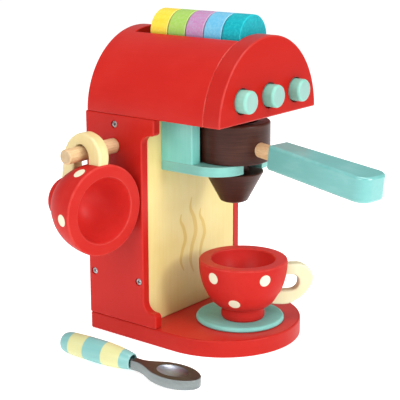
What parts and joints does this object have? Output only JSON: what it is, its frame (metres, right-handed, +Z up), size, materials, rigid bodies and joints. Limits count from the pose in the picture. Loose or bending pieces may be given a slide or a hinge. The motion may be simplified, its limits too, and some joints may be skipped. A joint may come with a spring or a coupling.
{
  "type": "toy coffee maker",
  "caption": "Wooden toy coffee maker with push buttons, a capsule slot, a turning filter holder, cups and a spoon.",
  "frame": {"origin": "centre of the base board's underside", "axes": "+Z up, -Y towards the round front, +X to the side away from the cup peg"},
  "size_m": [0.2028, 0.2471, 0.265],
  "materials": {
    "red_paint": "satin red lacquer on hardwood",
    "cream_paint": "satin cream lacquer on hardwood, with a printed steam ornament",
    "ivory_paint": "satin ivory lacquer",
    "mint_paint": "satin mint lacquer",
    "pale_mint_paint": "satin pale mint lacquer",
    "aqua_paint": "satin aqua lacquer",
    "brown_paint": "satin brown lacquer",
    "bare_wood": "clear lacquered pale hardwood",
    "steel": "plated steel",
    "yellow_stain": "yellow stain under clear lacquer, grain showing",
    "green_stain": "green stain under clear lacquer, grain showing",
    "purple_stain": "purple stain under clear lacquer, grain showing",
    "blue_stain": "light blue stain under clear lacquer, grain showing",
    "teal_stain": "teal stain under clear lacquer, grain showing",
    "spoon_stripes": "satin mint lacquer with yellow bands",
    "silver_paint": "silver-grey lacquer"
  },
  "bodies": {
    "machine": {"base_board": "red_paint", "drip_plate": "mint_paint", "side_panel_left": "red_paint", "side_panel_right": "red_paint", "front_panel": "cream_paint", "back_panel": "red_paint", "top_rail": "bare_wood", "panel_screws": "steel", "base_screws": "steel", "hood_screws": "steel", "hood_shell": "red_paint", "hood_front_board": "red_paint", "hood_bottom_board": "red_paint", "capsule_tray": "red_paint", "tray_supports": "bare_wood", "button_spring_board": "bare_wood", "bracket_cheek_left": "mint_paint", "bracket_cheek_right": "mint_paint", "fork_plate": "mint_paint", "bracket_screws": "steel", "cup_peg": "bare_wood", "spring_left": "steel", "spring_centre": "steel", "spring_right": "steel"},
    "button_left": {"button_left": "pale_mint_paint"},
    "button_centre": {"button_centre": "pale_mint_paint"},
    "button_right": {"button_right": "pale_mint_paint"},
    "filter_holder": {"filter_drum": "brown_paint", "filter_spout": "brown_paint", "filter_dowel": "bare_wood", "filter_handle": "aqua_paint"},
    "front_cup": {"cup_front_bowl": "red_paint", "cup_front_handle": "ivory_paint"},
    "hanging_cup": {"cup_hanging_bowl": "red_paint", "cup_hanging_handle": "ivory_paint"},
    "capsule_yellow": {"capsule_yellow": "yellow_stain"},
    "capsule_green": {"capsule_green": "green_stain"},
    "capsule_purple": {"capsule_purple": "purple_stain"},
    "capsule_blue": {"capsule_blue": "blue_stain"},
    "capsule_teal": {"capsule_teal": "teal_stain"},
    "spoon": {"spoon_handle": "spoon_stripes", "spoon_scoop": "silver_paint"}
  },
  "joints": [
    {"name": "button_left_press", "type": "slide", "parent": "machine", "child": "button_left", "axis": [0, 1, 0], "range_m": [0, 0.004], "stiffness_N_per_m": 250, "springref_m": -0.004, "deforming": ["spring_left"]},
    {"name": "button_centre_press", "type": "slide", "parent": "machine", "child": "button_centre", "axis": [0, 1, 0], "range_m": [0, 0.004], "stiffness_N_per_m": 250, "springref_m": -0.004, "deforming": ["spring_centre"]},
    {"name": "button_right_press", "type": "slide", "parent": "machine", "child": "button_right", "axis": [0, 1, 0], "range_m": [0, 0.004], "stiffness_N_per_m": 250, "springref_m": -0.004, "deforming": ["spring_right"]},
    {"name": "filter_turn", "type": "hinge", "parent": "machine", "child": "filter_holder", "pos_m": [0, -0.024, 0.1485], "axis": [0, 0, 1], "range_deg": [-86.8, 103.2]},
    {"name": "front_cup_lift", "type": "slide", "parent": "machine", "child": "front_cup", "axis": [0, -0.9397, 0.3419], "range_m": [0, 0.12]},
    {"name": "hanging_cup_swing", "type": "hinge", "parent": "machine", "child": "hanging_cup", "pos_m": [-0.0988, 0.0479, 0.16075], "axis": [1, 0, 0], "range_deg": [-25, 25]},
    {"name": "capsule_yellow_lift", "type": "slide", "parent": "machine", "child": "capsule_yellow", "axis": [0, 0, 1], "range_m": [0, 0.04]},
    {"name": "capsule_green_lift", "type": "slide", "parent": "machine", "child": "capsule_green", "axis": [0, 0, 1], "range_m": [0, 0.04]},
    {"name": "capsule_purple_lift", "type": "slide", "parent": "machine", "child": "capsule_purple", "axis": [0, 0, 1], "range_m": [0, 0.04]},
    {"name": "capsule_blue_lift", "type": "slide", "parent": "machine", "child": "capsule_blue", "axis": [0, 0, 1], "range_m": [0, 0.04]},
    {"name": "capsule_teal_lift", "type": "slide", "parent": "machine", "child": "capsule_teal", "axis": [0, 0, 1], "range_m": [0, 0.04]},
    {"name": "spoon_lift", "type": "slide", "parent": "machine", "child": "spoon", "axis": [0, 0, 1], "range_m": [0, 0.06]}
  ]
}
